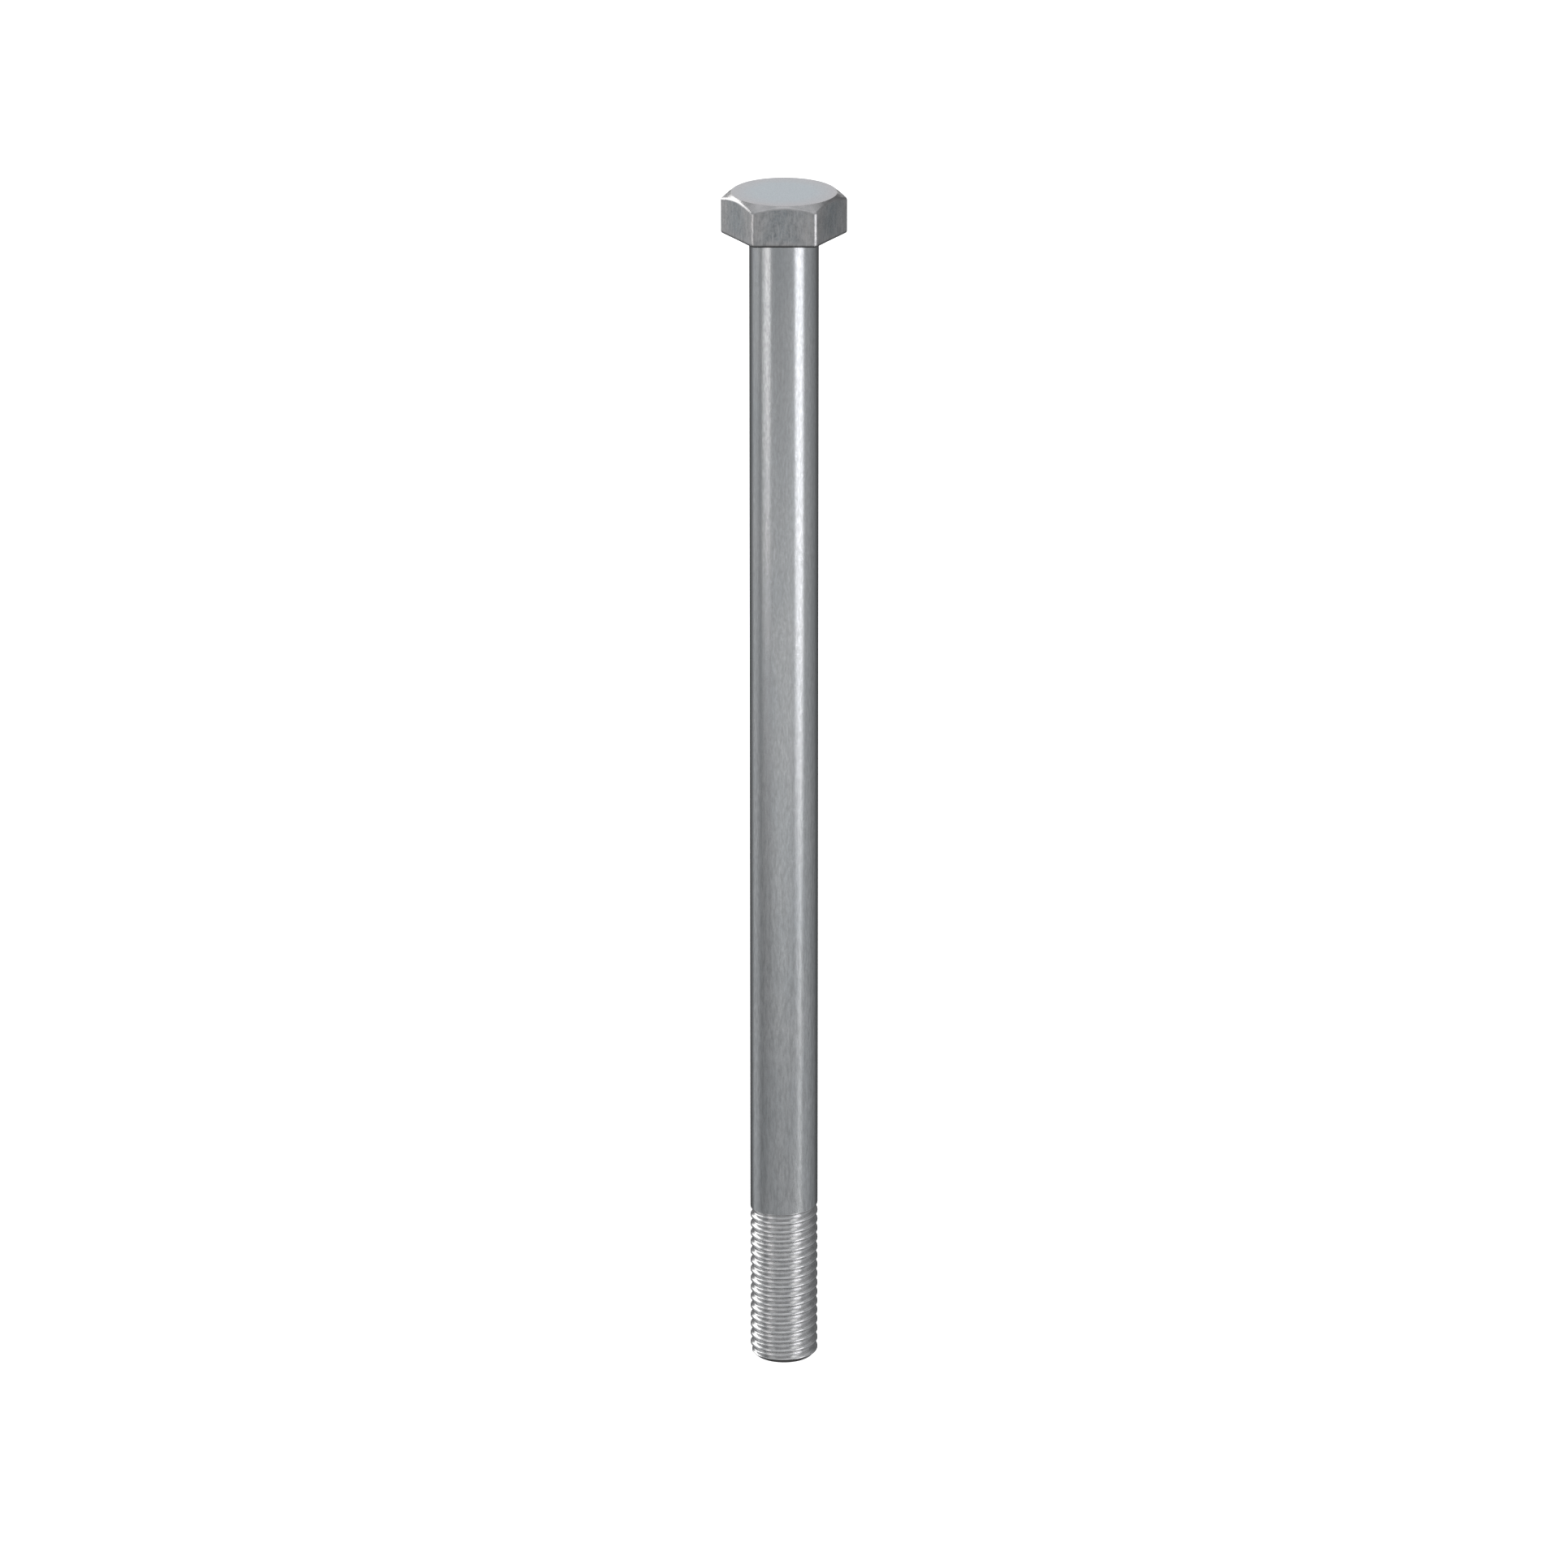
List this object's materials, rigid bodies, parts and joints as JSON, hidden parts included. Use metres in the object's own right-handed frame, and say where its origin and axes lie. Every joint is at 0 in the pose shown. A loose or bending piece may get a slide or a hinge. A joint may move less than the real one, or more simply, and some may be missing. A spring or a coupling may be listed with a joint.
{
  "type": "hex bolt",
  "caption": "Long hexagon-head bolt, M12 x 1.75, with a plain shank and a short right-hand thread at the tip.",
  "frame": {"origin": "middle of the bearing face, the flat underside of the head that seats on the clamped part", "axes": "+Z along the bolt's axis from the tip to the head, +X through two corners of the hexagon, +Y square to two of its flats"},
  "size_m": [0.0218, 0.019, 0.2153],
  "materials": {
    "zinc_plated_steel": "bright zinc plating over drawn steel"
  },
  "bodies": {
    "root": {"hex_bolt": "zinc_plated_steel"}
  },
  "joints": []
}
